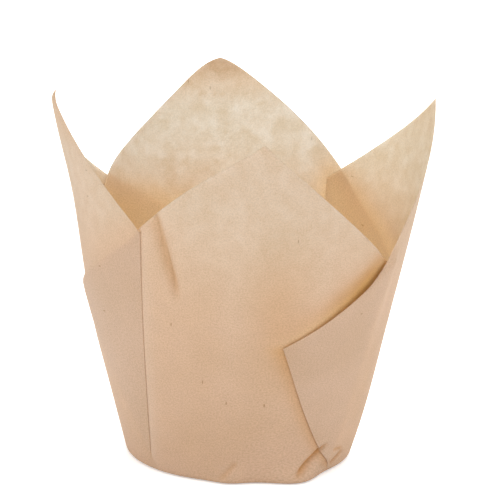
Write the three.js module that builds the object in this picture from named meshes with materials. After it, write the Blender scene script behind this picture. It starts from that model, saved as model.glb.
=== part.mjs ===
// Tulip baking cup: one square sheet of baking paper pressed into a round cup.
// Millimetres, +Z up, standing on its base with the base centred on the origin.
// The front corner of the sheet points toward -Y, the right-hand corner toward +X.
import * as THREE from 'three';

// The sheet
const sheetSide = 152;           // a six inch square
const thickness = 0.15;
const halfDiagonal = sheetSide / Math.SQRT2;

// The pressed cup
const baseRadius = 25;
const bendRadius = 1.2;          // the bend between base and wall
const lowFlare = 15.6;           // degrees the wall leans out at the base
const topFlare = 9.3;            // and at the top
const flareLength = 85;          // slant length over which the lean changes
const layerGap = 0.4;            // from the middle of one layer to the middle of the next

// The four corners stand up as petals. Angles are degrees round from the front.
// extra: mm the corner stands above a plain roll of the sheet. bowBefore and bowAfter: mm
// the two cut edges bulge upward. lean: mm outward at the tip. curl: the last mm that roll
// over, inward when rollOut is negative. rollAngle: degrees turned by the very tip.
const petals = [
  { azimuth: -3.5, tilt: 0.8, extra: 1.0, bowBefore: 3.7, bowAfter: 0.6,
    lean: 0.0, curl: 5, rollOut: -1, rollAngle: 18 },
  { azimuth: 102.5, tilt: -3.5, extra: -0.4, bowBefore: 1.8, bowAfter: 1.4,
    lean: 0.0, curl: 12, rollOut: -1, rollAngle: 6 },
  { azimuth: 181.8, tilt: 0.1, extra: 2.9, bowBefore: 2.7, bowAfter: 0.7,
    lean: 0.3, curl: 7, rollOut: -1, rollAngle: 76 },
  { azimuth: 269.5, tilt: 2.3, extra: 3.0, bowBefore: -0.1, bowAfter: 4.5,
    lean: 0.0, curl: 3, rollOut: -1, rollAngle: 50 },
];

// A pleat lies between each petal and the next. foldBefore and foldAfter: mm along the cut
// edge from each petal's tip to the fold. levelBefore and levelAfter: 0 is the layer inside
// the cup, 2 the layer outside, the folded middle is 1. bends: degrees the fold lines bow.
// gape: mm the roll of the fold stands open at the cut edge. sag: mm the outer flap slips.
// dip: mm the layer inside sinks in along the flap's edge.
const pleats = [
  { base: 46.5, foldBefore: 50, foldAfter: 73, levelBefore: 0, levelAfter: 2,
    bendBefore: 2, bendAfter: -7, gape: 0.9, sag: 2.5, dip: 1.5 },
  { base: 137, foldBefore: 43, foldAfter: 71, levelBefore: 0, levelAfter: 2,
    bendBefore: 0, bendAfter: 2, gape: 0.2, sag: 0, dip: 0 },
  { base: 226, foldBefore: 48, foldAfter: 66, levelBefore: 0, levelAfter: 2,
    bendBefore: 1, bendAfter: -2, gape: 0.2, sag: 0, dip: 0 },
  { base: 307, foldBefore: 42, foldAfter: 72, levelBefore: 2, levelAfter: 0,
    bendBefore: 1.5, bendAfter: -1, gape: 0.9, sag: 0, dip: 0 },
];
const pleatHalfWidth = 2.5;      // degrees of base circle either side of a pleat
const pleatRise = 0.07;          // share of the wall over which the layers part
const easeWidth = 8;             // degrees over which an outer layer settles on the wall
const dipAbove = 4.5;            // mm that a dip reaches above the flap's edge
const dipBelow = 9;              // and below it
const dipEase = 0.25;            // share of the pleat's width over which a dip ends

// A soft crease runs down the left of the front petal
const crease = { top: -37.1, topHeight: 61, foot: -30.5, footHeight: 44, depth: 0.55, width: 2.4 };

// Where the wall swells out of its plain form. around: degrees each way, upward: mm each
// way, out: mm it stands out. Hands and the table press the foot of the cup out of round.
const swells = [
  { azimuth: -92, around: 34, height: 30, upward: 11, out: 0.5 },
  { azimuth: -92, around: 34, height: 59, upward: 14, out: -0.6 },
  { azimuth: 82, around: 30, height: 8, upward: 18, out: 0.85 },
  { azimuth: -45, around: 26, height: 0, upward: 4, out: 0.6 },
  { azimuth: 24, around: 12, height: 0, upward: 3.2, out: 3.0 },
  { azimuth: -9, around: 8, height: 0, upward: 3, out: 1.1 },
];

// How finely the sheet is divided
const columnsPerEdge = 12;
const middleColumns = 3;
const bendRows = 3;
const wallRows = 18;

const radians = THREE.MathUtils.degToRad;
const clamp = THREE.MathUtils.clamp;
const lerp = THREE.MathUtils.lerp;

function smooth(from, to, value) {
  const t = clamp((value - from) / (to - from), 0, 1);
  return t * t * (3 - 2 * t);
}

const bendEnd = bendRadius * (Math.PI / 2 - radians(lowFlare));
const coneRadius = baseRadius / Math.sin(radians((lowFlare + topFlare) / 2));

// The profile: slant distance along the paper gives radius, height and lean in radians
function profile(slant) {
  const start = baseRadius - bendRadius;
  if (slant < bendEnd) {
    const turn = Math.max(slant, 0) / bendRadius;
    return { radius: start + bendRadius * Math.sin(turn) + Math.min(slant, 0),
      height: bendRadius * (1 - Math.cos(turn)), lean: Math.PI / 2 - turn };
  }
  const low = radians(lowFlare);
  const rate = (radians(topFlare) - low) / flareLength;
  const along = slant - bendEnd;
  const curved = Math.min(along, flareLength);
  const lean = low + rate * curved;
  const straight = along - curved;
  return {
    radius: start + bendRadius * Math.cos(low) + (Math.cos(low) - Math.cos(lean)) / rate
      + straight * Math.sin(lean),
    height: bendRadius * (1 - Math.sin(low)) + (Math.sin(lean) - Math.sin(low)) / rate
      + straight * Math.cos(lean),
    lean,
  };
}

// Where a point of the flat corner lies once it is rolled round the cup
function rollCorner(petal, across, above) {
  const t = radians(petal.tilt);
  const x = across * Math.cos(t) + above * Math.sin(t);
  const y = above * Math.cos(t) - across * Math.sin(t);
  const reach = Math.hypot(x, coneRadius + y);
  const slant = reach - coneRadius;
  const sweep = reach * Math.atan2(x, coneRadius + y);
  return { azimuth: petal.azimuth + THREE.MathUtils.radToDeg(sweep / profile(slant).radius), slant };
}

// A point of the cut edge, a distance along it from the tip, before (-1) or after (+1)
function cutEdge(petal, distance, way, sag = 0) {
  const step = distance / Math.SQRT2;
  const point = rollCorner(petal, way * step, halfDiagonal - baseRadius + petal.extra - step);
  const bow = way > 0 ? petal.bowAfter : petal.bowBefore;
  point.slant += bow * Math.sin(Math.PI * clamp(distance / 50, 0, 1)) - sag * smooth(30, 46, distance);
  return point;
}

// The share of the quarter turn that an edge point takes up on the flat sheet
function spread(distance) {
  return Math.atan2(distance, sheetSide - distance);
}

// The columns of one half of a petal, from its fold to its tip
function petalHalf(petal, pleat, way, base) {
  const fold = way > 0 ? pleat.foldBefore : pleat.foldAfter;
  const level = way > 0 ? pleat.levelBefore : pleat.levelAfter;
  const bend = way > 0 ? pleat.bendBefore : pleat.bendAfter;
  const foot = base - way * pleatHalfWidth;
  const columns = [];
  for (let i = 0; i <= columnsPerEdge; i += 1) {
    const distance = fold * (i / columnsPerEdge) ** 1.15;
    const edge = cutEdge(petal, distance, way, level === 2 ? pleat.sag : 0);
    columns.push({ petal, edge, way, distance, pleat, level,
      foot: lerp(petal.azimuth, foot, spread(distance) / spread(fold)),
      bend: bend * (distance / fold) ** 3 });
  }
  return way > 0 ? columns : columns.reverse();
}

// The folded middle layer of a pleat, with a rounded turn at each side
function pleatMiddle(pleat, before, after, base) {
  const columns = [];
  const count = middleColumns + 1;
  const turn = (column, side, angle) => ({ edge: column.edge, pleat, foot: column.foot, bend: column.bend,
    level: (column.level + 1) / 2 + Math.sin(angle) * (1 - column.level) / 2,
    turned: side * Math.cos(angle) * layerGap / 2, share: side > 0 ? 0 : 1 });
  columns.push(turn(before, 1, -Math.PI / 6), turn(before, 1, Math.PI / 6));
  for (let i = 1; i < count; i += 1) {
    const share = i / count;
    columns.push({ pleat, level: 1, share, turned: 0,
      edge: { azimuth: lerp(before.edge.azimuth, after.edge.azimuth, share),
        slant: lerp(before.edge.slant, after.edge.slant, share) },
      foot: lerp(before.foot, after.foot, share), bend: lerp(before.bend, after.bend, share) });
  }
  columns.push(turn(after, -1, -Math.PI / 6), turn(after, -1, Math.PI / 6));
  return columns;
}

// All columns of the sheet in order round the cup
function sheetColumns() {
  const columns = [];
  petals.forEach((petal, i) => {
    const before = pleats[(i + 3) % 4];
    const after = pleats[i];
    const baseBefore = i === 0 ? before.base - 360 : before.base;
    const left = petalHalf(petal, before, -1, baseBefore);
    const right = petalHalf(petal, after, 1, after.base);
    columns.push(...left, ...right.slice(1));
    const next = petals[(i + 1) % 4];
    const shifted = i === 3 ? { ...next, azimuth: next.azimuth + 360 } : next;
    const beyond = petalHalf(shifted, after, -1, after.base)[0];
    columns.push(...pleatMiddle(after, right[right.length - 1], beyond, after.base));
  });
  return columns;
}

// Azimuth of a column at a share of the wall's height
function columnAzimuth(column, share) {
  return lerp(column.foot, column.edge.azimuth, share) + column.bend * Math.sin(Math.PI * share);
}

// How far the layer inside sinks in along the edge of the flap that lies over it
function dipDepth(pleat, azimuth, slant, inner) {
  const outer = inner.partner.edge;
  const across = (azimuth - inner.edge.azimuth) / (outer.azimuth - inner.edge.azimuth);
  const along = clamp(across, 0, 1);
  const above = slant - pleat.sag - lerp(inner.edge.slant, outer.slant, along);
  const near = lerp(1, 0.25, along) * (1 - smooth(1, 1 + dipEase, across));
  return pleat.dip * near * Math.exp(-((above / (above > 0 ? dipAbove : dipBelow)) ** 2));
}

// How far out of the plain wall the paper lies, in mm
function layerLift(column, azimuth, slant, share, folds) {
  const rise = smooth(0, pleatRise, share);
  const pleat = column.pleat;
  const inner = folds.get(pleat);
  let level = column.level;
  let gape = 0;
  const flare = pleat.gape * share ** 4;
  if (column.share !== undefined) {
    const nearInner = pleat.levelBefore === 0 ? 1 - column.share : column.share;
    gape = flare * nearInner * Math.min(level, 1);
  } else if (level === 0) {
    gape = -dipDepth(pleat, azimuth, slant, inner);
  } else {
    const side = pleat.levelBefore === 0 ? 1 : -1;
    const past = side * (azimuth - columnAzimuth(inner, share));
    const offset = Math.abs(columnAzimuth(inner, share) - columnAzimuth(inner.partner, share));
    level *= 1 - smooth(1, 1 + easeWidth, past);
    gape = flare * (1 - smooth(1, 1 + easeWidth, past)) * clamp(1 + past / Math.max(offset, 1), 0, 1);
  }
  return rise * (level * layerGap + gape);
}

// Bell curves round the cup and up the wall, added up
function wallSwell(azimuth, height) {
  return swells.reduce((out, swell) => {
    const turn = THREE.MathUtils.euclideanModulo(azimuth - swell.azimuth + 180, 360) - 180;
    const bell = (turn / swell.around) ** 2 + ((height - swell.height) / swell.upward) ** 2;
    return out + swell.out * Math.exp(-bell);
  }, 0);
}

// The crease of the front petal, a soft groove pressed inward
function creaseDepth(azimuth, height) {
  const share = (crease.topHeight - height) / (crease.topHeight - crease.footHeight);
  const line = lerp(crease.top, crease.foot, clamp(share, -0.2, 1.3));
  const away = (azimuth - line) * 0.66 / crease.width;
  const fade = smooth(-0.1, 0.15, share) * (1 - smooth(0.8, 1.3, share));
  return crease.depth * fade * Math.exp(-away * away);
}

// Lean and curl of a petal near its tip: change in slant and in distance out of the wall
function tipShape(petal, slant) {
  const top = cutEdge(petal, 0, 1).slant;
  const reach = smooth(top - 45, top, slant);
  const start = top - petal.curl;
  if (slant <= start) return { slant, out: petal.lean * reach };
  const radius = petal.curl / radians(petal.rollAngle);
  const turn = (slant - start) / radius;
  return { slant: start + radius * Math.sin(turn),
    out: petal.lean * reach + petal.rollOut * radius * (1 - Math.cos(turn)) };
}

// The point of the sheet's middle surface for a column and a slant share
function sheetPoint(column, share, bendShare, folds) {
  const azimuth = columnAzimuth(column, share);
  let slant = share > 0 ? lerp(bendEnd, column.edge.slant, share) : bendShare * bendEnd;
  let out = layerLift(column, azimuth, slant, share, folds);
  if (column.petal) {
    const tip = tipShape(column.petal, slant);
    slant = tip.slant;
    out += tip.out - creaseDepth(azimuth, profile(slant).height);
  }
  const at = profile(slant);
  const radius = at.radius + out * Math.cos(at.lean) + wallSwell(azimuth, at.height);
  const height = at.height - out * Math.sin(at.lean) + thickness / 2;
  const angle = radians(azimuth) + (column.turned ?? 0) * smooth(0, pleatRise, share) / radius;
  return new THREE.Vector3(radius * Math.sin(angle), -radius * Math.cos(angle), height);
}

// The inner fold of each pleat, with the outer fold as its partner
function pleatFolds(columns) {
  const folds = new Map();
  pleats.forEach((pleat) => {
    const mine = columns.filter((column) => column.pleat === pleat && column.share === undefined);
    const before = mine.filter((column) => column.way > 0).pop();
    const after = mine.filter((column) => column.way < 0)[0];
    const turn = before.edge.azimuth - after.edge.azimuth > 180 ? 360 : 0;
    const shifted = { ...after, foot: after.foot + turn,
      edge: { ...after.edge, azimuth: after.edge.azimuth + turn } };
    const inner = pleat.levelBefore === 0 ? before : shifted;
    const outer = pleat.levelBefore === 0 ? shifted : before;
    folds.set(pleat, { ...inner, partner: outer });
  });
  return folds;
}

// The middle surface as a grid of points, one row of them for each step up the wall
function middleSurface() {
  const columns = sheetColumns();
  const folds = pleatFolds(columns);
  const rows = [];
  for (let j = 0; j < bendRows; j += 1) {
    rows.push(columns.map((column) => sheetPoint(column, 0, j / bendRows, folds)));
  }
  for (let j = 0; j <= wallRows; j += 1) {
    const share = 0.65 * (j / wallRows) + 0.35 * (j / wallRows) ** 2;
    rows.push(columns.map((column) => sheetPoint(column, share, 1, folds)));
  }
  return rows;
}

// Triangles of the middle surface: the grid, and a fan over the flat base
function surfaceTriangles(rowCount, columnCount) {
  const faces = [];
  const centre = rowCount * columnCount;
  for (let i = 0; i < columnCount; i += 1) {
    const next = (i + 1) % columnCount;
    faces.push([centre, next, i]);
    for (let j = 0; j + 1 < rowCount; j += 1) {
      const low = j * columnCount;
      const high = low + columnCount;
      faces.push([low + i, low + next, high + next], [low + i, high + next, high + i]);
    }
  }
  return faces;
}

// Normals that point outward, weighted by the corner angle of each triangle
function surfaceNormals(points, faces) {
  const normals = points.map(() => new THREE.Vector3());
  for (const face of faces) {
    const corners = face.map((k) => points[k]);
    const normal = new THREE.Vector3().crossVectors(
      corners[1].clone().sub(corners[0]), corners[2].clone().sub(corners[0])).normalize();
    face.forEach((k, n) => {
      const a = corners[(n + 1) % 3].clone().sub(corners[n]);
      const b = corners[(n + 2) % 3].clone().sub(corners[n]);
      normals[k].addScaledVector(normal, a.angleTo(b));
    });
  }
  return normals.map((normal) => normal.normalize());
}

// The paper: the middle surface thickened both ways and closed along the cut edge
function paperGeometry() {
  const rows = middleSurface();
  const columnCount = rows[0].length;
  const points = rows.flat();
  const centre = points.length;
  points.push(new THREE.Vector3(0, 0, thickness / 2));
  const faces = surfaceTriangles(rows.length, columnCount);
  const normals = surfaceNormals(points, faces);
  for (let i = 0; i < columnCount; i += 1) normals[i].set(0, 0, -1);
  normals[centre].set(0, 0, -1);
  const outside = points.map((p, k) => p.clone().addScaledVector(normals[k], thickness / 2));
  const inside = points.map((p, k) => p.clone().addScaledVector(normals[k], -thickness / 2));
  const shift = outside.length;
  const index = [];
  for (const [a, b, c] of faces) index.push(a, b, c, c + shift, b + shift, a + shift);
  const top = (rows.length - 1) * columnCount;
  for (let i = 0; i < columnCount; i += 1) {
    const a = top + i;
    const b = top + (i + 1) % columnCount;
    index.push(a, b, b + shift, a, b + shift, a + shift);
  }
  const geometry = new THREE.BufferGeometry();
  const positions = [...outside, ...inside].flatMap((p) => [p.x, p.y, p.z]);
  geometry.setAttribute('position', new THREE.Float32BufferAttribute(positions, 3));
  geometry.setIndex(index);
  geometry.computeVertexNormals();
  return geometry;
}

const paper = new THREE.MeshStandardMaterial({ color: 0xcfae86, roughness: 0.8, side: THREE.DoubleSide });
const cup = new THREE.Mesh(paperGeometry(), paper);
cup.name = 'baking_cup';

const part = new THREE.Group();
part.name = 'tulip_baking_cup';
part.add(cup);

export default part;
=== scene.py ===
import math

import bpy
import numpy as np
from mathutils import Matrix, Vector


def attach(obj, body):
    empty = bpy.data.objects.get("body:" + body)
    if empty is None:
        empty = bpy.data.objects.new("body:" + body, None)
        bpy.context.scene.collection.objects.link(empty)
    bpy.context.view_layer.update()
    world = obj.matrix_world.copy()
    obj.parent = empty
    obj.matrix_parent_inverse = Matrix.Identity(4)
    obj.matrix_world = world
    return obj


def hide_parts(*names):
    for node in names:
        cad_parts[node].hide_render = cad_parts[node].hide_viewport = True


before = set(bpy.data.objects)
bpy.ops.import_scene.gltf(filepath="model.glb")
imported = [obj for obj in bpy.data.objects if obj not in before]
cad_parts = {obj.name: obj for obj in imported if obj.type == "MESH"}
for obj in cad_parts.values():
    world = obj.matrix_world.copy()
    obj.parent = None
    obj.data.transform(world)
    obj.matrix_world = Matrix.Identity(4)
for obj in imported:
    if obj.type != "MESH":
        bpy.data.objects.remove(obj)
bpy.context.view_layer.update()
print("frame loaded:", sorted(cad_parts))

toMetres = 0.001  # the sheet is worked out in millimetres, as it is cut and pressed
cupMiddle = (0.0, 0.0, 0.04)  # where the camera and the lamps point, in metres
white = (1.0, 1.0, 1.0, 1.0)


# Camera

cameraSettings = {
    "azimuth": -7.6,  # degrees round from the front petal
    "elevation": 15.7,
    "roll": -1.8,
    "distance": 0.9,
    "lens": 290.4,
    "target": cupMiddle,
    "shift": (0.0168, 0.0552),
}


# Camera axes: back points from the target to the eye, right lies level, up is their cross product,
# and the roll turns right and up about back.
def makeCamera(settings):
    azimuth = math.radians(settings["azimuth"])
    elevation = math.radians(settings["elevation"])
    roll = math.radians(settings["roll"])
    back = Vector((
        math.sin(azimuth) * math.cos(elevation),
        -math.cos(azimuth) * math.cos(elevation),
        math.sin(elevation),
    ))
    right = Vector((math.cos(azimuth), math.sin(azimuth), 0.0))
    up = back.cross(right)
    rolledRight = right * math.cos(roll) - up * math.sin(roll)
    rolledUp = right * math.sin(roll) + up * math.cos(roll)
    data = bpy.data.cameras.new("photoCamera")
    data.lens = settings["lens"]
    data.sensor_width = 36.0
    data.shift_x, data.shift_y = settings["shift"]
    data.clip_start, data.clip_end = 0.01, 20.0
    camera = bpy.data.objects.new("photoCamera", data)
    axes = Matrix((rolledRight, rolledUp, back)).transposed().to_4x4()
    eye = Vector(settings["target"]) + back * settings["distance"]
    camera.matrix_world = Matrix.Translation(eye) @ axes
    bpy.context.scene.collection.objects.link(camera)
    bpy.context.scene.camera = camera
    return camera


makeCamera(cameraSettings)
print("camera placed")


# Sheet and cup, in millimetres and degrees: the solid's sizes, with thinner paper that lies closer

sheet = {
    "side": 152.0,  # a six inch square
    "thickness": 0.03,
    "baseRadius": 25.0,
    "bendRadius": 1.2,  # from the base into the wall
    "lowFlare": 15.6,
    "topFlare": 9.3,
    "flareLength": 85.0,  # mm of wall over which the one flare turns into the other
    "layerGap": 0.085,  # from the middle of one layer to the next
    "pleatHalfWidth": 2.5,
    "pleatRise": 5.0,  # mm of slant over which the layers part
    "overlapEase": 2.4,  # slant above a hidden cut edge over which the layer outside comes to rest
    "easeWidth": 8.0,  # degrees past the inner fold over which it comes back to the wall
    "middleDrop": 0.8,  # mm that the middle layer's cut edge hangs below a straight line
    "bendPower": 0.72,  # a bent fold bends most a little below half its height
    "bowReach": 50.0,  # mm from a tip over which a cut edge is bowed
    "slip": (32.0, 43.0),  # mm from the tip over which a slipped flap's edge comes down
    "slipSpan": 30.0,  # mm past that over which it comes down less
    "slipEase": 0.15,  # and by what share
    "snugStart": (0.3, 1.2),  # degrees past a flap's fold over which the layer inside comes level
    "snugEnd": (3.0, 14.0),  # and over which it sinks back
    "sinkWidth": 4.5,  # degrees past a fold over which the layer inside lies a little deeper
    "leanReach": 45.0,  # mm below a tip from which the petal leans
    "waveRise": (3.0, 30.0),  # mm up over which the slow waves grow
    "footArc": 0.44,  # mm in one degree at the foot
    "arcRise": 0.0037,  # and what each mm of height adds
    "foldColumn": 0.12,  # mm from a fold to the column before it
    "columnStep": 1.15,  # along the cut edge
    "middleColumns": 8,
    "foldColumns": 5,
    "baseRows": 5,
    "bendRows": 4,
    "wallRows": 88,
    "rowSpread": (0.55, 0.75, -0.3),  # closer rows at the foot: parts of share, square and cube
}

# The four corners of the square, front, right, back and left. A bow is how far a cut edge stands
# above the straight one, and a power that sets its highest place lower down. Free is how much of
# the light from behind passes, tip shade is the painted shade at a tip that curls over, and glow
# how much painted light lightens the inside.
petals = [
    {"azimuth": -3.5, "tilt": 0.8, "extra": 1.0, "bowBefore": (3.7, 1.0), "bowAfter": (0.6, 1.0),
     "lean": 0.0, "curl": 5.0, "rollOut": -1, "rollAngle": 18.0,
     "tipShade": 0.0, "free": 1.0, "glow": 0.0},
    {"azimuth": 102.5, "tilt": -3.5, "extra": 0.6, "bowBefore": (1.8, 1.0), "bowAfter": (1.1, 1.0),
     "lean": 0.0, "curl": 12.0, "rollOut": 1, "rollAngle": 3.0,
     "tipShade": 0.1, "free": 0.9, "glow": 0.4},
    {"azimuth": 181.8, "tilt": 0.1, "extra": 2.9, "bowBefore": (2.8, 1.15), "bowAfter": (1.9, 3.0),
     "lean": 0.3, "curl": 7.0, "rollOut": -1, "rollAngle": 76.0,
     "tipShade": 0.4, "free": 1.0, "glow": 0.0},
    {"azimuth": 269.5, "tilt": 2.3, "extra": 4.2, "bowBefore": (0.0, 1.5), "bowAfter": (3.8, 1.1),
     "lean": 0.5, "curl": 3.0, "rollOut": -1, "rollAngle": 40.0,
     "tipShade": 0.3, "free": 1.0, "glow": 0.0},
]

# The pleat after each petal. Levels: 0 is the layer inside the cup, 1 the folded middle, 2 outside.
# Gape is how far the inner fold stands open as a roll, sag how far the flap slipped down, dip how
# far the layer inside gives under the flap's edge, and snug is 1 where it lies level with the flap.
# Dip shading is painted shade under the flap's edge, with painted light in the hollow below it, and
# fold shading is painted shade beside the flap's fold, painted light where it is negative.
pleats = [
    {"base": 46.5, "foldBefore": 50.0, "foldAfter": 73.8, "levelBefore": 0, "levelAfter": 2,
     "bendBefore": 2.0, "bendAfter": -7.4, "gape": 1.0, "sag": 2.5, "dip": 0.8, "dipAbove": 4.5,
     "dipBelow": 9.0, "sink": 0.1, "snug": 0.0, "dipShading": 1.55, "foldShading": 0.6},
    {"base": 137.0, "foldBefore": 42.0, "foldAfter": 71.0, "levelBefore": 0, "levelAfter": 2,
     "bendBefore": 0.0, "bendAfter": 2.0, "gape": 0.2, "sag": 0.0, "dip": 0.4, "dipAbove": 6.0,
     "dipBelow": 9.0, "sink": 0.0, "snug": 1.0, "dipShading": 0.55, "foldShading": 0.1},
    {"base": 226.0, "foldBefore": 48.0, "foldAfter": 66.0, "levelBefore": 0, "levelAfter": 2,
     "bendBefore": 1.0, "bendAfter": -2.0, "gape": 0.2, "sag": 0.0, "dip": 1.8, "dipAbove": 6.0,
     "dipBelow": 9.0, "sink": 0.0, "snug": 1.0, "dipShading": 0.5, "foldShading": 0.1},
    {"base": 307.0, "foldBefore": 42.0, "foldAfter": 72.0, "levelBefore": 2, "levelAfter": 0,
     "bendBefore": 1.5, "bendAfter": -1.0, "gape": 0.8, "sag": 0.0, "dip": 0.0, "dipAbove": 3.0,
     "dipBelow": 6.0, "sink": 0.0, "snug": 1.0, "dipShading": 0.0, "foldShading": -0.3},
]

# Creases pressed into the wall: from and to as degrees round and mm up, depth in mm (a ridge where
# it is negative), the width in mm at either end, and tone, the painted shade in the crease, which
# is painted light where it is negative
creases = [
    {"from": (-37.6, 64.0), "to": (-30.5, 45.0), "depth": 1.5, "widths": (1.2, 0.85), "tone": 0.7},
    {"from": (-7.5, 4.9), "to": (-15.1, 0.6), "depth": 0.35, "widths": (0.5, 0.8), "tone": 0.35},
    {"from": (39.0, 7.2), "to": (22.0, 1.6), "depth": 1.1, "widths": (0.55, 0.6), "tone": 1.2},
    {"from": (44.0, 4.4), "to": (29.0, 2.2), "depth": -0.5, "widths": (1.0, 0.8), "tone": 0.0},
    {"from": (47.0, 5.4), "to": (54.5, 4.8), "depth": 0.4, "widths": (0.4, 0.4), "tone": 0.7},
    {"from": (56.0, 3.9), "to": (47.5, 1.8), "depth": 0.7, "widths": (0.45, 0.5), "tone": 1.0},
    {"from": (31.4, 1.5), "to": (48.0, 1.3), "depth": -0.3, "widths": (0.35, 0.35), "tone": 0.0},
    {"from": (187.6, 72.6), "to": (182.1, 72.0), "depth": -0.2, "widths": (0.25, 0.25),
     "tone": 0.5},
    {"from": (215.0, 62.6), "to": (197.9, 48.7), "depth": 0.3, "widths": (0.9, 0.9), "tone": -0.3},
]

# Where the wall swells out of its plain form: the middle of the swelling, its reach each way round
# the cup and up the wall, how far it stands out, and tone, painted shade laid over it, which is
# painted light where it is negative
swells = [
    {"azimuth": -92.0, "around": 34.0, "height": 30.0, "upward": 11.0, "out": 0.5, "tone": 0.0},
    {"azimuth": 82.0, "around": 30.0, "height": 8.0, "upward": 18.0, "out": 0.85, "tone": 0.0},
    {"azimuth": -92.0, "around": 34.0, "height": 60.0, "upward": 13.0, "out": -0.9, "tone": 0.0},
    {"azimuth": -45.0, "around": 26.0, "height": 0.0, "upward": 4.0, "out": 0.25, "tone": 0.0},
    {"azimuth": 24.0, "around": 13.5, "height": 0.0, "upward": 3.2, "out": 3.3, "tone": 0.0},
    {"azimuth": -11.0, "around": 9.0, "height": 0.0, "upward": 3.0, "out": 1.2, "tone": 0.0},
    {"azimuth": -10.0, "around": 6.0, "height": 45.0, "upward": 17.0, "out": 0.5, "tone": -0.16},
    {"azimuth": 6.0, "around": 9.0, "height": 43.0, "upward": 12.0, "out": -0.6, "tone": 0.34},
    {"azimuth": 21.0, "around": 5.0, "height": 48.0, "upward": 9.0, "out": 0.35, "tone": -0.14},
    {"azimuth": -78.0, "around": 22.0, "height": 26.0, "upward": 24.0, "out": 0.0, "tone": -0.2},
]

# Slow waves of the wall: how many go round the cup, their phase in radians, how much it shifts for
# each mm of height, and how far they stand out
waves = [
    {"count": 3, "phase": 0.7, "shift": 0.02, "out": 0.15},
    {"count": 7, "phase": -1.1, "shift": -0.05, "out": 0.12},
]


# Finish of the paper: colours, textures, and how tone changes them, with painted shade and light
paperLook = {
    "face": (0.675, 0.472, 0.333, 1.0),  # what the pulp sends back
    "faceDeep": (0.615, 0.422, 0.278, 1.0),
    "warmShade": (0.89, 0.71, 0.47, 1.0),  # painted shade: in creases, beside and under flaps, at curled tips
    "glow": (1.32, 1.46, 1.30, 1.0),  # painted light: inside the pleats, where light passes from layer to layer, and under flaps
    "throughClosed": (1.0, 0.64, 0.26, 1.0),  # the light that passes, low down and in pleats
    "throughFree": (0.88, 0.98, 0.89, 1.0),  # and up on the petals
    "cloudDeep": (0.72, 0.66, 0.55, 1.0),  # thicker pulp
    "grainDeep": (0.885, 0.865, 0.84, 1.0),
    "grainHigh": (1.05, 1.05, 1.05, 1.0),
    "passing": ((0.09, 0.30), (0.08, 0.16)),  # share that passes, closed and free: inside, outside
    "freeHeight": (32.0, 66.0),  # mm up over which the paper gets free
    "pleatStart": (-0.2, 0.1),  # shares of a pleat's width over which its tone comes
    "pleatEnd": (0.95, 1.4),  # and goes
    "pleatTop": (-3.0, 9.0),  # mm above the hidden cut edge over which it goes
    "foldFade": 5.0,  # degrees from a fold over which its painted shade fades
    "tipFade": (14.0, 3.0),  # mm below a tip where its painted shade starts and is whole
    "shadeReach": 1.05,  # reach of the painted shade under a flap, as a share of the dip's
    "glowReach": 0.4,  # and of the painted light, which lies lower by the next value in mm
    "glowDrop": 2.2,
    # bounds of the painted shade, which is painted light below zero
    "shadeRange": (-0.5, 1.35),
    "roughness": 0.62,
    "gloss": 0.35,
    "bump": (0.1, 0.00005),  # strength, and depth in metres
    "slow": 9.0,  # waves of tone across the sheet's side
    "cloud": 48.0,  # clouds of the pulp
    "grain": 440.0,  # single fibres
    "grainShare": 0.45,  # of the grain in the slow waves
    "contrast": (0.36, 0.64),  # noise at which a blend starts and ends
    "fibreContrast": (0.38, 0.58),
    "fleck": 13.0,  # dark specks, one in each cell
    "fleckEdge": (0.008, 0.016),
    "fleckTurn": 0.7,  # radians
    "fleckStretch": 0.35,
    "speck": (0.66, 0.56, 0.46, 1.0),
}


def smooth(low, high, value):  # 0 below low, 1 above high, and an S curve between
    t = np.clip((value - low) / (high - low), 0.0, 1.0)
    return t * t * (3.0 - 2.0 * t)


bendEnd = sheet["bendRadius"] * math.radians(90.0 - sheet["lowFlare"])
meanFlare = (sheet["lowFlare"] + sheet["topFlare"]) / 2
coneRadius = sheet["baseRadius"] / math.sin(math.radians(meanFlare))
halfDiagonal = sheet["side"] / math.sqrt(2.0)


# Profile of the pressed cup. The bend is an arc, radius r0 + b sin(turn), height b (1 - cos(turn)).
# Above it the lean changes evenly along the paper, so radius and height are differences of cosines
# and sines of the lean divided by its rate, and the rest is straight.
def profile(slant):
    bend = sheet["bendRadius"]
    start = sheet["baseRadius"] - bend
    turn = np.clip(slant, 0.0, bendEnd) / bend
    low = math.radians(sheet["lowFlare"])
    rate = (math.radians(sheet["topFlare"]) - low) / sheet["flareLength"]
    along = np.maximum(slant - bendEnd, 0.0)
    curved = np.minimum(along, sheet["flareLength"])
    lean = low + rate * curved
    straight = along - curved
    radius = (start + bend * np.sin(turn) + np.minimum(slant, 0.0)
              + (math.cos(low) - np.cos(lean)) / rate + straight * np.sin(lean))
    height = (bend * (1.0 - np.cos(turn))
              + (np.sin(lean) - math.sin(low)) / rate + straight * np.cos(lean))
    lean = np.where(slant < bendEnd, math.pi / 2 - turn, lean)
    return radius, height, lean


# A flat corner of the sheet rolled on the cone: the distance from the cone's point stays, and the
# angle seen from there becomes an arc round the cup.
def rollCorner(petal, across, above):
    tilt = math.radians(petal["tilt"])
    x = across * math.cos(tilt) + above * math.sin(tilt)
    y = above * math.cos(tilt) - across * math.sin(tilt)
    reach = np.hypot(x, coneRadius + y)
    slant = reach - coneRadius
    sweep = reach * np.arctan2(x, coneRadius + y)
    return petal["azimuth"] + np.degrees(sweep / profile(slant)[0]), slant


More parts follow.
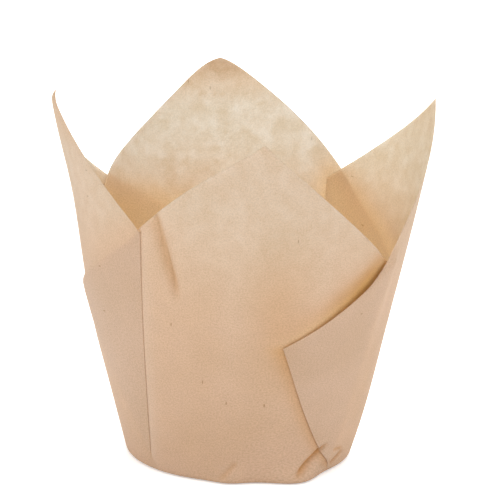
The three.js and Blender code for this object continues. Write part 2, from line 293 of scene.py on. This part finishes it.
# The cut edge at a distance from a petal's tip, before it (-1) or after it (+1): the straight edge
# of the square rolled on the cone, bowed by half a sine, and lowered where the flap slipped, less
# in its middle than at its ends.
def cutEdge(petal, distance, way, sag=0.0):
    step = distance / math.sqrt(2.0)
    above = halfDiagonal - sheet["baseRadius"] + petal["extra"] - step
    azimuth, slant = rollCorner(petal, way * step, above)
    bow, power = petal["bowAfter"] if way > 0 else petal["bowBefore"]
    slant = slant + bow * np.sin(np.pi * np.clip(distance / sheet["bowReach"], 0.0, 1.0) ** power)
    middle = np.sin(np.pi * np.clip((distance - sheet["slip"][1]) / sheet["slipSpan"], 0.0, 1.0))
    return azimuth, slant - sag * (smooth(*sheet["slip"], distance) - sheet["slipEase"] * middle)


# Radians from a corner to a point of the cut edge, seen from the middle of the flat sheet: the arc
# tangent of the distance over what is left of the side
def spread(distance):
    return np.arctan2(distance, sheet["side"] - distance)


# The columns of one half of a petal, from the tip (distance 0) to its fold. Their feet lie round the
# base in proportion to the turn on the flat sheet, and the bend grows with the cube of the distance.
def petalHalf(petal, pleat, way, base, corner):
    fold = pleat["foldBefore"] if way > 0 else pleat["foldAfter"]
    level = pleat["levelBefore"] if way > 0 else pleat["levelAfter"]
    bend = pleat["bendBefore"] if way > 0 else pleat["bendAfter"]
    count = round(fold / sheet["columnStep"])
    evenly = np.linspace(0.0, 1.0, count + 1)[:-1]
    distance = fold * np.append(evenly, [1.0 - sheet["foldColumn"] / fold, 1.0])
    azimuth, slant = cutEdge(petal, distance, way, pleat["sag"] if level == 2 else 0.0)
    foot = base - way * sheet["pleatHalfWidth"]
    turn = spread(distance) / spread(fold)
    return {
        "pleat": pleat, "petal": petal, "way": way, "level": level,
        "azimuth": azimuth, "slant": slant,
        "foot": petal["azimuth"] + (foot - petal["azimuth"]) * turn,
        "bend": bend * (distance / fold) ** 3,
        "flat": corner * 90.0 + way * np.degrees(spread(distance)),
    }


# The fold column of a petal half on its own, with the half's cut edge in order of azimuth
def foldLine(half, shift):
    order = slice(None, None, half["way"])
    fold = {name: half[name][-1] for name in ("bend", "slant")}
    fold.update({name: half[name][-1] + shift for name in ("foot", "azimuth", "flat")})
    fold["edge"] = (half["azimuth"][order] + shift, half["slant"][order])
    return fold


# The middle layer of a pleat: a half round turn at each fold and straight columns between them.
# Turn is 0 at the neighbour's layer and 1 at the middle's own, bulge the cosine of the half round.
def pleatMiddle(pleat, before, after):
    angles = np.radians(np.linspace(-90.0, 90.0, sheet["foldColumns"] + 2)[1:-1])
    inner = np.linspace(0.0, 1.0, sheet["middleColumns"] + 2)[1:-1]
    straight = np.concatenate([[0.0, 0.01], inner, [0.99, 1.0]])
    share = np.concatenate([0.0 * angles, straight, 0.0 * angles + 1.0])
    none = 0.0 * straight

    def between(name):  # a straight blend from the one fold to the other
        return before[name] + (after[name] - before[name]) * share

    return {
        "pleat": pleat, "petal": None, "way": 0, "level": 1, "share": share,
        "azimuth": between("azimuth"), "foot": between("foot"),
        "bend": between("bend"), "flat": between("flat"),
        "slant": between("slant") - sheet["middleDrop"] * np.sin(np.pi * share),
        "turn": np.concatenate([(1.0 + np.sin(angles)) / 2, none + 1.0,
                                (1.0 - np.sin(angles)) / 2]),
        "bulge": np.concatenate([np.cos(angles), none, -np.cos(angles)]),
    }


# Azimuth of every column at each share of the wall: straight from foot to cut edge, plus half a
# sine of a power of the share
def columnAzimuth(segment, share):
    straight = segment["foot"] + (segment["azimuth"] - segment["foot"]) * share
    return straight + segment["bend"] * np.sin(np.pi * share ** sheet["bendPower"])


def foldAzimuth(fold, slant):  # where a fold lies at a slant up the wall
    return columnAzimuth(fold, np.clip((slant - bendEnd) / (fold["slant"] - bendEnd), 0.0, 1.0))


# Slant of the middle layer's cut edge: a straight line from fold to fold that hangs by half a sine
def hiddenEdge(folds, azimuth):
    inner, outer = folds
    along = np.clip((azimuth - inner["azimuth"]) / (outer["azimuth"] - inner["azimuth"]), 0.0, 1.0)
    line = inner["slant"] + (outer["slant"] - inner["slant"]) * along
    return line - sheet["middleDrop"] * np.sin(np.pi * along)


# Degrees past the inner fold, away from the inner petal
def pastFold(pleat, azimuth, slant, folds):
    return (azimuth - foldAzimuth(folds[0], slant)) * (1.0 if pleat["levelBefore"] == 0 else -1.0)


def layerRise(slant):  # the layers part over the first few mm of the wall
    return smooth(0.0, sheet["pleatRise"], slant - bendEnd)


# The open roll of the inner fold: the fourth power of the slant's share of the hidden cut edge, and
# evenly less toward the outer fold
def openRoll(pleat, azimuth, slant, folds):
    width = np.maximum(np.abs(foldAzimuth(folds[0], slant) - foldAzimuth(folds[1], slant)), 1.0)
    across = np.clip(1.0 + pastFold(pleat, azimuth, slant, folds) / width, 0.0, 1.0)
    share = np.clip((slant - bendEnd) / (hiddenEdge(folds, azimuth) - bendEnd), 0.0, 1.0)
    return pleat["gape"] * share ** 4 * across


# Degrees past the outer fold, out from under the flap, and 1 below the pleat's cut edge
def besideFlap(pleat, azimuth, slant, folds):
    past = (foldAzimuth(folds[1], slant) - azimuth) * (1.0 if pleat["levelBefore"] == 0 else -1.0)
    return past, 1.0 - smooth(-1.0, 1.5, slant - hiddenEdge(folds, azimuth))


# Nearness to the cut edge of the flap over the layer inside: a bell curve over the slant, half as
# strong at the inner fold, less and less from there to the outer fold, and soon nothing past it
def underFlap(pleat, azimuth, slant, folds, widen=1.0):
    inner, outer = folds
    along = (azimuth - inner["azimuth"]) / (outer["azimuth"] - inner["azimuth"])
    above = slant - pleat["sag"] - hiddenEdge(folds, azimuth)
    near = (1.0 - 0.9 * np.clip(along, 0.0, 1.0)) * (1.0 - smooth(1.0, 1.25, along))
    near = near * (0.5 + 0.5 * smooth(0.0, 0.3, along))
    reach = widen * np.where(above > 0.0, pleat["dipAbove"], pleat["dipBelow"])
    return near * np.exp(-(above / reach) ** 2)


# The layer inside dips under the flap and sinks beside its fold, or stands level with the flap
# where the fold is pressed tight
def innerLift(pleat, azimuth, slant, folds):
    past, below = besideFlap(pleat, azimuth, slant, folds)
    snug = smooth(*sheet["snugStart"], past) * (1.0 - smooth(*sheet["snugEnd"], past))
    snug = snug * layerRise(slant)
    sunk = pleat["sink"] * np.exp(-(past / sheet["sinkWidth"]) ** 2)
    level = pleat["snug"] * 2.0 * sheet["layerGap"] * snug - sunk
    return level * below - pleat["dip"] * underFlap(pleat, azimuth, slant, folds)


def middleLift(pleat, azimuth, slant, folds):  # one gap out, and the open roll
    return layerRise(slant) * (sheet["layerGap"] + openRoll(pleat, azimuth, slant, folds))


# The layer outside lies one gap out over the inner petal and two over the middle layer. It comes
# back to the wall past the inner fold and above their cut edges.
def outerLift(pleat, azimuth, slant, folds):
    line = hiddenEdge(folds, azimuth)
    petalEdge = np.maximum(line, np.interp(azimuth, *folds[0]["edge"]))
    overMiddle = 1.0 - smooth(0.0, sheet["overlapEase"], slant - line)
    overPetal = 1.0 - smooth(0.5, 0.5 + sheet["overlapEase"], slant - petalEdge)
    settle = 1.0 - smooth(1.0, 1.0 + sheet["easeWidth"], pastFold(pleat, azimuth, slant, folds))
    roll = openRoll(pleat, azimuth, slant, folds)
    out = sheet["layerGap"] * (overMiddle + overPetal) + roll * overMiddle
    return layerRise(slant) * settle * out


# Sum of the creases: a bell curve across a line, faded at both ends. Across and along are measured
# in mm, with the mm in one degree taken at the crease's own height.
def creaseSum(azimuth, height, amount):
    total = 0.0 * azimuth + 0.0 * height
    for crease in creases:
        (azimuth0, height0), (azimuth1, height1) = crease["from"], crease["to"]
        arc = sheet["footArc"] + sheet["arcRise"] * (height0 + height1) / 2
        dx, dy = (azimuth1 - azimuth0) * arc, height1 - height0
        x, y = ((azimuth - azimuth0 + 180.0) % 360.0 - 180.0) * arc, height - height0
        length = math.hypot(dx, dy)
        along = (x * dx + y * dy) / length ** 2
        away = (x * dy - y * dx) / length
        width0, width1 = crease["widths"]
        width = width0 + (width1 - width0) * np.clip(along, 0.0, 1.0)
        fade = smooth(-0.12, 0.12, along) * (1.0 - smooth(0.8, 1.15, along))
        total = total + crease[amount] * fade * np.exp(-(away / width) ** 2)
    return total


# Lean and curl near a petal's tip: past the start of the curl the paper follows an arc
def tipShape(petal, slant):
    top = cutEdge(petal, np.zeros(1), 1)[1][0]
    start = top - petal["curl"]
    radius = petal["curl"] / math.radians(petal["rollAngle"])
    turn = np.maximum(slant - start, 0.0) / radius
    rolled = petal["rollOut"] * radius * (1.0 - np.cos(turn))
    out = petal["lean"] * smooth(top - sheet["leanReach"], top, slant) + rolled
    return np.where(slant > start, start + radius * np.sin(turn), slant), out


# Slow waves of the wall: a few sines round the cup that grow with the height
def wallWaves(azimuth, height):
    a = np.radians(azimuth)
    slow = 0.0
    for wave in waves:
        turned = wave["count"] * a + wave["phase"] + height * wave["shift"]
        slow = slow + wave["out"] * np.sin(turned)
    return slow * smooth(*sheet["waveRise"], height)


# Swellings: a bell curve round the cup times a bell curve up the wall, for each one
def wallSwell(azimuth, height, amount="out"):
    out = 0.0 * azimuth + 0.0 * height
    for swell in swells:
        turn = (azimuth - swell["azimuth"] + 180.0) % 360.0 - 180.0
        bell = (turn / swell["around"]) ** 2 + ((height - swell["height"]) / swell["upward"]) ** 2
        out = out + swell[amount] * np.exp(-bell)
    return out


# Points of the middle surface, rows by columns by 3. The lift of the layer, the tip, the waves and
# the creases stand out at right angles to the wall, and the swellings level. In a middle layer the
# half round folds lead from the neighbour's lift to its own.
def segmentPoints(segment, share, folds):
    pleat = segment["pleat"]
    azimuth = columnAzimuth(segment, share)
    slant = bendEnd + (segment["slant"] - bendEnd) * share
    place = (pleat, azimuth, slant, folds)
    lifts = (innerLift, middleLift, outerLift)
    out = lifts[segment["level"]](*place)
    turned = 0.0
    if segment["petal"] is None:
        beforeLift = lifts[pleat["levelBefore"]](*place)
        afterLift = lifts[pleat["levelAfter"]](*place)
        neighbour = np.where(segment["share"] < 0.5, beforeLift, afterLift)
        turned = segment["bulge"] * np.abs(out - neighbour) / 2
        out = neighbour + (out - neighbour) * segment["turn"]
    else:
        slant, tipOut = tipShape(segment["petal"], slant)
        out = out + tipOut
    height = profile(slant)[1]
    out = out + wallWaves(azimuth, height) - creaseSum(azimuth, height, "depth")
    radius, height, lean = profile(slant)
    radius = radius + out * np.cos(lean) + wallSwell(azimuth, height)
    height = height - out * np.sin(lean) + sheet["thickness"] / 2
    angle = np.radians(azimuth) + turned / radius
    return np.stack([radius * np.sin(angle), -radius * np.cos(angle), height], axis=-1)


# All segments in order round the cup, each with the columns to keep and the inner and outer folds
# of its pleat
def sheetSegments():
    halves = []
    for i, petal in enumerate(petals):
        before, after = pleats[i - 1], pleats[i]
        baseBefore = before["base"] - (360.0 if i == 0 else 0.0)
        left = petalHalf(petal, before, -1, baseBefore, i)
        halves.append((left, petalHalf(petal, after, 1, after["base"], i)))

    def pleatFolds(i, shiftBefore, shiftAfter):  # of the pleat after petal i, inner fold first
        pair = foldLine(halves[i][1], shiftBefore), foldLine(halves[(i + 1) % 4][0], shiftAfter)
        return pair if pleats[i]["levelBefore"] == 0 else pair[::-1]

    segments = []
    for i, (left, right) in enumerate(halves):
        behind = -360.0 if i == 0 else 0.0
        ahead = 360.0 if i == 3 else 0.0
        segments.append((left, slice(None, None, -1), pleatFolds((i + 3) % 4, behind, 0.0)))
        segments.append((right, slice(1, None), pleatFolds(i, 0.0, ahead)))
        nextFold = foldLine(halves[(i + 1) % 4][0], ahead)
        middle = pleatMiddle(pleats[i], foldLine(right, 0.0), nextFold)
        segments.append((middle, slice(None), pleatFolds(i, 0.0, ahead)))
    return segments


# Tone of the paper at every point. Free is 0 low down and in the pleats and 1 up on the petals.
# Warm shade is painted shade, high in the creases, beside and under a flap and at a tip that curls
# over, and painted light where negative. Glow is painted light for the inside and is 1 in the
# pleats, and under is painted light for the outside and is high under a flap.
def segmentTone(segment, share, folds):
    pleat, petal = segment["pleat"], segment["petal"]
    azimuth = columnAzimuth(segment, share)
    slant = bendEnd + (segment["slant"] - bendEnd) * share
    height = profile(slant)[1]
    along = (azimuth - folds[0]["azimuth"]) / (folds[1]["azimuth"] - folds[0]["azimuth"])
    look = paperLook
    inPleat = smooth(*look["pleatStart"], along) * (1.0 - smooth(*look["pleatEnd"], along))
    inPleat = inPleat * (1.0 - smooth(*look["pleatTop"], slant - hiddenEdge(folds, azimuth)))
    free = smooth(*look["freeHeight"], height) * (1.0 - inPleat)
    glow, under = inPleat, 0.0
    # painted shade in the creases and on the swells, painted light where negative
    warmShade = creaseSum(azimuth, height, "tone") + wallSwell(azimuth, height, "tone")
    if petal is not None:
        if segment["level"] == 0:
            past, below = besideFlap(pleat, azimuth, slant, folds)
            # painted light in the hollow under the flap, painted shade along its edge and beside its
            # fold
            lower = slant + look["glowDrop"]
            under = pleat["dipShading"] * underFlap(pleat, azimuth, lower, folds, look["glowReach"])
            dip = underFlap(pleat, azimuth, slant, folds, look["shadeReach"])
            warmShade = warmShade + pleat["dipShading"] * dip
            warmShade = warmShade + pleat["foldShading"] * below * np.exp(-(past / look["foldFade"]) ** 2)
        # painted shade at a tip that curls over, and painted light on an inside that glows
        top = cutEdge(petal, np.zeros(1), 1)[1][0]
        first, whole = look["tipFade"]
        tip = petal["tipShade"] * smooth(top - first, top - whole, slant)
        warmShade, free = warmShade + tip, free * (1.0 - tip) * petal["free"]
        glow = np.maximum(glow, petal["glow"] * smooth(*look["freeHeight"], height))
    warmShade = np.clip(warmShade, *look["shadeRange"])
    return np.stack([free, warmShade, glow + 0.0 * free, under + 0.0 * free], axis=-1)


# Middle surface of the whole sheet and the flat place of each of its points. Rows run from the base
# out to the bend, up the bend, and then up the wall to the cut edge.
def middleSurface():
    wall = np.linspace(0.0, 1.0, sheet["wallRows"] + 1)
    even, square, cube = sheet["rowSpread"]
    share = (even * wall + square * wall ** 2 + cube * wall ** 3)[:, None]
    walls, feet, flats, tones = [], [], [], []
    for half, keep, folds in sheetSegments():
        walls.append(segmentPoints(half, share, folds)[:, keep])
        tones.append(segmentTone(half, share, folds)[:, keep])
        feet.append(half["foot"][keep])
        flats.append(half["flat"][keep])
    wallPoints = np.concatenate(walls, axis=1)
    foot = np.radians(np.concatenate(feet))
    flat = np.radians(np.concatenate(flats))
    start = sheet["baseRadius"] - sheet["bendRadius"]
    rings = start * np.linspace(0.0, 1.0, sheet["baseRows"] + 1)[1:, None]
    footDegrees = np.degrees(foot)
    rings = rings + wallSwell(footDegrees, 0.0) * (rings / start) ** 3
    low = np.stack([rings * np.sin(foot), -rings * np.cos(foot),
                    0.0 * rings + sheet["thickness"] / 2], axis=-1)
    bendSlant = np.linspace(0.0, bendEnd, sheet["bendRows"] + 1)[1:-1, None]
    radius, height, _ = profile(bendSlant)
    radius = radius + wallSwell(footDegrees, height)
    bent = np.stack([radius * np.sin(foot), -radius * np.cos(foot),
                     height + 0.0 * foot + sheet["thickness"] / 2], axis=-1)
    points = np.concatenate([low, bent, wallPoints])
    fromSide = flat - np.pi / 4
    reach = (sheet["side"] / 2) / np.maximum(np.abs(np.cos(fromSide)), np.abs(np.sin(fromSide)))
    inner = np.concatenate([rings, start + bendSlant + 0.0 * foot])
    outer = (start + bendEnd) + (reach - start - bendEnd) * share
    far = np.concatenate([inner + 0.0 * flat, outer])
    flatPlace = np.stack([far * np.sin(flat), -far * np.cos(flat)], axis=-1)
    plain = np.zeros((len(low) + len(bent), len(foot), 4))
    tone = np.concatenate([plain, np.concatenate(tones, axis=1)])
    return points, flatPlace, tone


# Outward normals of the grid: the cross product of the step round the cup and the step up the wall
def gridNormals(points):
    around = np.roll(points, -1, axis=1) - np.roll(points, 1, axis=1)
    up = np.gradient(points, axis=0)
    normal = np.cross(around, up)
    return normal / np.maximum(np.linalg.norm(normal, axis=-1, keepdims=True), 1e-12)


# The paper as a closed skin: both faces half a thickness from the middle, a fan over the base's
# centre on each, and a band along the cut edge
def makePaper():
    points, flatPlace, tone = middleSurface()
    rows, columns = points.shape[:2]
    normals = gridNormals(points)
    normals[: sheet["baseRows"]] = (0.0, 0.0, -1.0)
    half = sheet["thickness"] / 2
    outside = (points + half * normals).reshape(-1, 3)
    inside = (points - half * normals).reshape(-1, 3)
    centre = np.array([[0.0, 0.0, 0.0], [0.0, 0.0, sheet["thickness"]]])
    vertices = np.concatenate([outside, inside, centre]) * toMetres
    count = rows * columns
    j, i = np.meshgrid(np.arange(rows - 1), np.arange(columns), indexing="ij")
    a = j * columns + i
    b = j * columns + (i + 1) % columns
    quads = np.stack([a, b, b + columns, a + columns], axis=-1).reshape(-1, 4)
    k = np.arange(columns)
    top = (rows - 1) * columns
    band = np.stack([top + k, top + (k + 1) % columns,
                     count + top + (k + 1) % columns, count + top + k], axis=-1)
    turned = quads[:, [0, 3, 2, 1]] + count  # the same diagonal on both skins
    quads = np.concatenate([quads, turned, band])
    fan = np.stack([0 * k + 2 * count, (k + 1) % columns, k], axis=-1)
    fanInside = np.stack([0 * k + 2 * count + 1, count + k, count + (k + 1) % columns], axis=-1)
    mesh = bpy.data.meshes.new("bakingPaper")
    mesh.from_pydata(vertices.tolist(), [], quads.tolist() + fan.tolist() + fanInside.tolist())
    flatPlace = flatPlace.reshape(-1, 2)
    flatVertex = np.concatenate([flatPlace, flatPlace, np.zeros((2, 2))])
    corner = np.zeros(len(mesh.loops), np.int32)
    mesh.loops.foreach_get("vertex_index", corner)
    layer = mesh.uv_layers.new(name="sheet")
    place = flatVertex[corner] / sheet["side"] + 0.5
    layer.uv.foreach_set("vector", place.astype(np.float32).ravel())
    tone = tone.reshape(-1, 4)
    inward = np.concatenate([0.0 * tone[:, 0], 0.0 * tone[:, 0] + 1.0, [0.0, 1.0]])
    tone = np.concatenate([tone, tone, np.zeros((2, 4))])
    passes = [low + (high - low) * tone[:, 0] for low, high in paperLook["passing"]]
    passing = np.where(inward > 0.5, *passes)
    # painted light: the glow of the pleats on the inside skin, and under a flap on the outside one
    glow = np.where(inward > 0.5, tone[:, 2], tone[:, 3])
    tones = np.column_stack([tone[:, :2], passing, glow]).astype(np.float32)
    mesh.attributes.new("tone", "FLOAT_COLOR", "POINT").data.foreach_set("color", tones.ravel())
    rounded = np.ones(len(mesh.polygons), bool)
    rounded[len(quads) - columns:len(quads)] = False  # the cut edge stays crisp
    mesh.polygons.foreach_set("use_smooth", rounded)
    mesh.validate()
    mesh.update()
    paper = bpy.data.objects.new("bakingPaper", mesh)
    bpy.context.scene.collection.objects.link(paper)
    return paper


# Paper finish

def addNode(tree, kind, place, **values):  # one node, with its sockets set by name
    node = tree.nodes.new(kind)
    node.location = place
    for name, value in values.items():
        node.inputs[name].default_value = value
    return node


def ramp(tree, place, low, high):  # black at low, white at high
    node = tree.nodes.new("ShaderNodeMapRange")
    node.location = place
    node.inputs["From Min"].default_value = low
    node.inputs["From Max"].default_value = high
    return node


# A blend from low to high by a share, which may lie a little past them
def tint(tree, place, share, low, high):
    node = addNode(tree, "ShaderNodeMix", place)
    node.data_type = "RGBA"
    node.clamp_factor = False
    tree.links.new(share, node.inputs["Factor"])
    node.inputs[6].default_value = low
    node.inputs[7].default_value = high
    return node


def product(tree, place, first, second):  # two colours multiplied
    node = addNode(tree, "ShaderNodeMix", place)
    node.data_type = "RGBA"
    node.blend_type = "MULTIPLY"
    node.inputs["Factor"].default_value = 1.0
    tree.links.new(first.outputs[2], node.inputs[6])
    tree.links.new(second.outputs[2], node.inputs[7])
    return node


# Paper that lets light through. A face sends back its pulp colour and passes a share of the light
# on. Light already inside the paper leaves through the other face unchanged. The pulp colour
# carries painted shade and painted light from the tone.
def paperMaterial(look):
    material = bpy.data.materials.new("brownBakingPaper")
    material.use_nodes = True
    tree = material.node_tree
    tree.nodes.clear()
    link = tree.links.new
    place = addNode(tree, "ShaderNodeUVMap", (-1700, 0))
    place.uv_map = "sheet"
    noise = "ShaderNodeTexNoise"
    slow = addNode(tree, noise, (-1400, 400), Scale=look["slow"], Detail=2.0, Roughness=0.5)
    cloud = addNode(tree, noise, (-1400, 200), Scale=look["cloud"], Detail=5.0, Roughness=0.68)
    grain = addNode(tree, noise, (-1400, -100), Scale=look["grain"], Detail=3.0, Roughness=0.75)
    fleck = addNode(tree, "ShaderNodeTexVoronoi", (-1400, -400))
    fleck.voronoi_dimensions = "2D"
    fleck.inputs["Scale"].default_value = look["fleck"]
    fibre = addNode(tree, "ShaderNodeMapping", (-1600, -400),
                    Rotation=(0.0, 0.0, look["fleckTurn"]), Scale=(1.0, look["fleckStretch"], 1.0))
    link(place.outputs["UV"], fibre.inputs["Vector"])
    for texture in (slow, cloud, grain):
        link(place.outputs["UV"], texture.inputs["Vector"])
    link(fibre.outputs["Vector"], fleck.inputs["Vector"])
    mixed = addNode(tree, "ShaderNodeMix", (-1150, 300))  # the finer texture over the slower one
    mixed.inputs["Factor"].default_value = look["grainShare"]
    link(slow.outputs["Fac"], mixed.inputs["A"])
    link(grain.outputs["Fac"], mixed.inputs["B"])
    faceShare = ramp(tree, (-900, 300), *look["contrast"])
    link(mixed.outputs["Result"], faceShare.inputs["Value"])
    throughShare = ramp(tree, (-900, 0), *look["contrast"])
    link(cloud.outputs["Fac"], throughShare.inputs["Value"])
    tone = addNode(tree, "ShaderNodeAttribute", (-1150, -700))
    tone.attribute_name = "tone"
    parts = addNode(tree, "ShaderNodeSeparateColor", (-900, -700))
    link(tone.outputs["Color"], parts.inputs["Color"])
    face = tint(tree, (-650, 300), faceShare.outputs["Result"], look["faceDeep"], look["face"])
    # painted shade and painted light laid on the pulp colour by the tone
    warmShade = tint(tree, (-650, 600), parts.outputs["Green"], white, look["warmShade"])
    glow = tint(tree, (-650, 1000), tone.outputs["Alpha"], white, look["glow"])
    face = product(tree, (-450, 400), product(tree, (-450, 700), face, warmShade), glow)
    fibres = ramp(tree, (-900, 800), *look["fibreContrast"])
    link(grain.outputs["Fac"], fibres.inputs["Value"])
    grainTone = tint(tree, (-650, 800), fibres.outputs["Result"],
                     look["grainDeep"], look["grainHigh"])
    face = product(tree, (-400, 800), face, grainTone)
    through = tint(tree, (-650, 0), parts.outputs["Red"],
                   look["throughClosed"], look["throughFree"])
    clouds = tint(tree, (-650, -200), throughShare.outputs["Result"], look["cloudDeep"], white)
    through = product(tree, (-450, -100), through, clouds)
    speck = ramp(tree, (-900, -400), *look["fleckEdge"])
    link(fleck.outputs["Distance"], speck.inputs["Value"])
    specked = tint(tree, (-400, 600), speck.outputs["Result"], look["speck"], white)
    face = product(tree, (-200, 400), face, specked)
    strength, depth = look["bump"]
    bump = addNode(tree, "ShaderNodeBump", (-650, -300), Strength=strength, Distance=depth)
    link(grain.outputs["Fac"], bump.inputs["Height"])
    body = addNode(tree, "ShaderNodeBsdfPrincipled", (-350, 300), Roughness=look["roughness"])
    body.inputs["Specular IOR Level"].default_value = look["gloss"]
    link(face.outputs[2], body.inputs["Base Color"])
    link(bump.outputs["Normal"], body.inputs["Normal"])
    passed = addNode(tree, "ShaderNodeBsdfTranslucent", (-350, 0))
    link(through.outputs[2], passed.inputs["Color"])
    link(bump.outputs["Normal"], passed.inputs["Normal"])
    outer = addNode(tree, "ShaderNodeMixShader", (-100, 200))
    link(parts.outputs["Blue"], outer.inputs["Fac"])
    link(body.outputs["BSDF"], outer.inputs[1])
    link(passed.outputs["BSDF"], outer.inputs[2])
    leaving = addNode(tree, "ShaderNodeBsdfTranslucent", (-100, -100), Color=white)
    side = addNode(tree, "ShaderNodeNewGeometry", (-100, 500))
    whole = addNode(tree, "ShaderNodeMixShader", (150, 200))
    link(side.outputs["Backfacing"], whole.inputs["Fac"])
    link(outer.outputs["Shader"], whole.inputs[1])
    link(leaving.outputs["BSDF"], whole.inputs[2])
    output = addNode(tree, "ShaderNodeOutputMaterial", (400, 200))
    link(whole.outputs["Shader"], output.inputs["Surface"])
    return material


paper = makePaper()
paper.data.materials.append(paperMaterial(paperLook))
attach(paper, "root")
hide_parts("baking_cup")
print("paper made:", len(paper.data.polygons), "faces")


# Floor and light

studio = {
    "floorSize": 6.0,
    "floorDrop": 0.0002,  # below the cup's base, so that the two don't share a plane
    "floorColour": (0.9, 0.9, 0.9, 1.0),
    "floorLift": 0.45,  # brightens the floor for the camera alone
    "worldLevel": 0.652,
}

lamps = [
    {"name": "topBox", "place": (-0.1, -0.5, 1.5), "size": 1.2, "power": 9.0},
    {"name": "leftBox", "place": (-1.3, -0.6, 0.6), "size": 1.0, "power": 2.8},
    {"name": "rightBox", "place": (1.3, -0.5, 0.7), "size": 1.0, "power": 2.6},
    {"name": "backBox", "place": (0.3, 1.3, 0.9), "size": 1.2, "power": 20.0},
]


def makeFloor(settings):  # a white plane that shows brighter to the camera and keeps the shadow
    half = settings["floorSize"] / 2
    level = -settings["floorDrop"]
    mesh = bpy.data.meshes.new("floor")
    corners = (-half, -half), (half, -half), (half, half), (-half, half)
    mesh.from_pydata([(x, y, level) for x, y in corners], [], [(0, 1, 2, 3)])
    floor = bpy.data.objects.new("floor", mesh)
    bpy.context.scene.collection.objects.link(floor)
    material = bpy.data.materials.new("floorWhite")
    material.use_nodes = True
    tree = material.node_tree
    tree.nodes.clear()
    matt = addNode(tree, "ShaderNodeBsdfDiffuse", (-200, 100), Color=settings["floorColour"])
    path = addNode(tree, "ShaderNodeLightPath", (-600, -100))
    lift = addNode(tree, "ShaderNodeMath", (-400, -100))
    lift.operation = "MULTIPLY"
    lift.inputs[1].default_value = settings["floorLift"]
    shine = addNode(tree, "ShaderNodeEmission", (-200, -100))
    both = addNode(tree, "ShaderNodeAddShader", (0, 0))
    output = addNode(tree, "ShaderNodeOutputMaterial", (200, 0))
    tree.links.new(path.outputs["Is Camera Ray"], lift.inputs[0])
    tree.links.new(lift.outputs[0], shine.inputs["Strength"])
    tree.links.new(matt.outputs["BSDF"], both.inputs[0])
    tree.links.new(shine.outputs["Emission"], both.inputs[1])
    tree.links.new(both.outputs["Shader"], output.inputs["Surface"])
    mesh.materials.append(material)
    return floor


def makeWorld(level):  # even white light, and plain white where the camera sees past the floor
    world = bpy.data.worlds.new("studioWorld")
    world.use_nodes = True
    tree = world.node_tree
    tree.nodes.clear()
    path = addNode(tree, "ShaderNodeLightPath", (-600, 0))
    strength = addNode(tree, "ShaderNodeMapRange", (-400, 0))
    strength.inputs["To Min"].default_value = level
    strength.inputs["To Max"].default_value = 1.0
    light = addNode(tree, "ShaderNodeBackground", (-200, 0), Color=white)
    output = addNode(tree, "ShaderNodeOutputWorld", (0, 0))
    tree.links.new(path.outputs["Is Camera Ray"], strength.inputs["Value"])
    tree.links.new(strength.outputs["Result"], light.inputs["Strength"])
    tree.links.new(light.outputs["Background"], output.inputs["Surface"])
    bpy.context.scene.world = world


def makeLamp(settings):  # a square soft box aimed at the middle of the cup
    data = bpy.data.lights.new(settings["name"], "AREA")
    data.size = settings["size"]
    data.energy = settings["power"]
    lamp = bpy.data.objects.new(settings["name"], data)
    aim = Vector(cupMiddle) - Vector(settings["place"])
    lamp.location = settings["place"]
    lamp.rotation_mode = "QUATERNION"
    lamp.rotation_quaternion = aim.to_track_quat("-Z", "Y")
    bpy.context.scene.collection.objects.link(lamp)
    return lamp


makeFloor(studio)
makeWorld(studio["worldLevel"])
for lampSettings in lamps:
    makeLamp(lampSettings)
bpy.context.scene.view_settings.view_transform = "Standard"
print("floor and light made")
